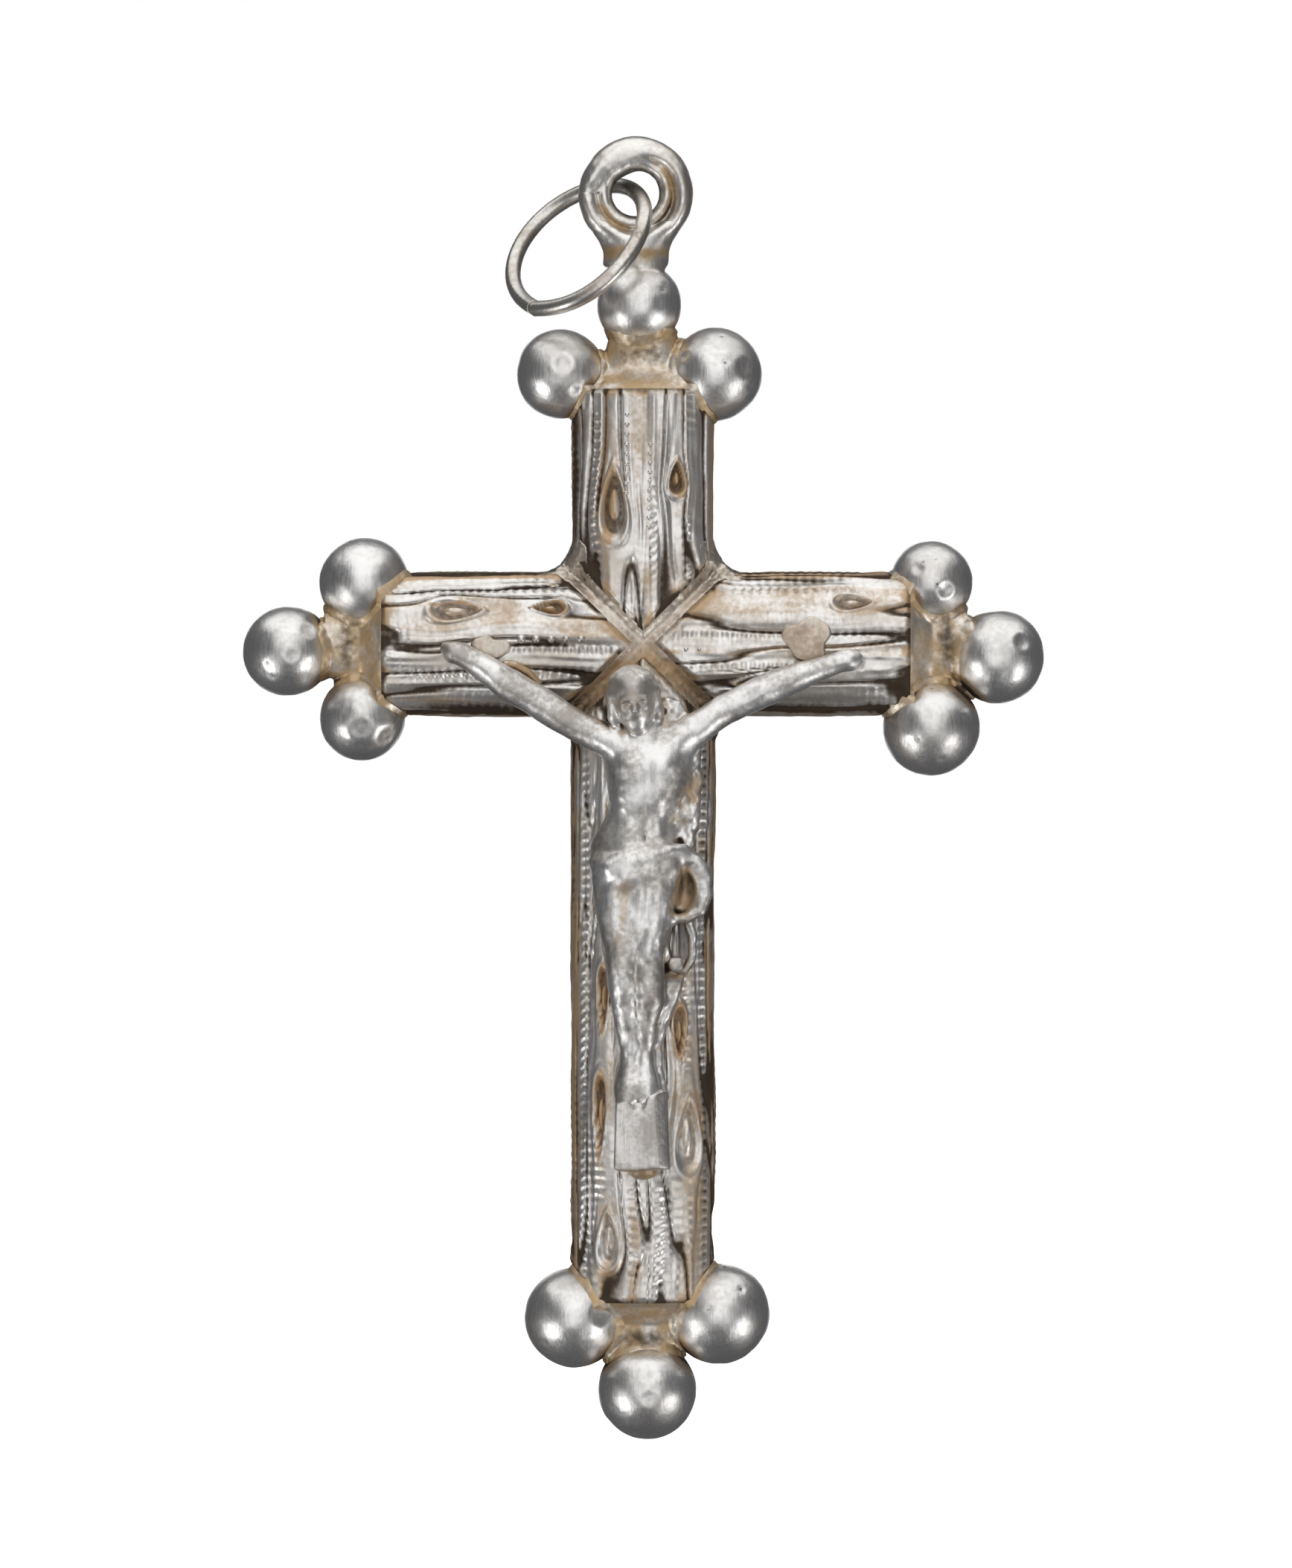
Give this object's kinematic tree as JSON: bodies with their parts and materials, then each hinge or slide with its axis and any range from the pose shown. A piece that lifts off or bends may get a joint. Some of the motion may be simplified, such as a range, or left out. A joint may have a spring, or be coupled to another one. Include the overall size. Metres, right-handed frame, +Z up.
{
  "type": "crucifix pendant",
  "caption": "Small silver crucifix pendant with bark-textured tube arms, bead clusters on the arm ends, a cast figure on the front, and a bail carrying a loose jump ring.",
  "frame": {"origin": "centre of the bail's eye", "axes": "+Z up along the upright, front with the figure faces -Y, +X to the viewer's right"},
  "size_m": [0.043, 0.0092, 0.0701],
  "materials": {
    "bark_silver": "tarnished silver, chased bark texture, dark in the grooves",
    "bead_silver": "satin silver, finely scratched",
    "plain_silver": "worn silver with brown tarnish in the hollows",
    "cast_silver": "cast silver, rubbed bright on the high places",
    "solder": "silver solder, golden brown tarnish"
  },
  "bodies": {
    "cross": {"bail": "plain_silver", "bail_neck": "plain_silver", "bottom_bead": "bead_silver", "bottom_left_bead": "bead_silver", "bottom_right_bead": "bead_silver", "corpus": "cast_silver", "crossing_seam": "solder", "fixing_peg": "cast_silver", "foot_rest": "cast_silver", "left_arm_tube": "bark_silver", "left_end_bead": "bead_silver", "left_end_cap": "plain_silver", "left_hand_pad": "solder", "left_lower_bead": "bead_silver", "left_upper_bead": "bead_silver", "lower_arm_tube": "bark_silver", "lower_end_cap": "plain_silver", "right_arm_tube": "bark_silver", "right_end_bead": "bead_silver", "right_end_cap": "plain_silver", "right_hand_pad": "solder", "right_lower_bead": "bead_silver", "right_upper_bead": "bead_silver", "top_bead": "bead_silver", "top_left_bead": "bead_silver", "top_right_bead": "bead_silver", "upper_arm_tube": "bark_silver", "upper_end_cap": "plain_silver"},
    "jump_ring": {"jump_ring": "plain_silver"}
  },
  "joints": [
    {"name": "ring_swing", "type": "hinge", "parent": "cross", "child": "jump_ring", "pos_m": [0, 0, 0], "axis": [0, 1, 0], "range_deg": [0, 262]}
  ]
}
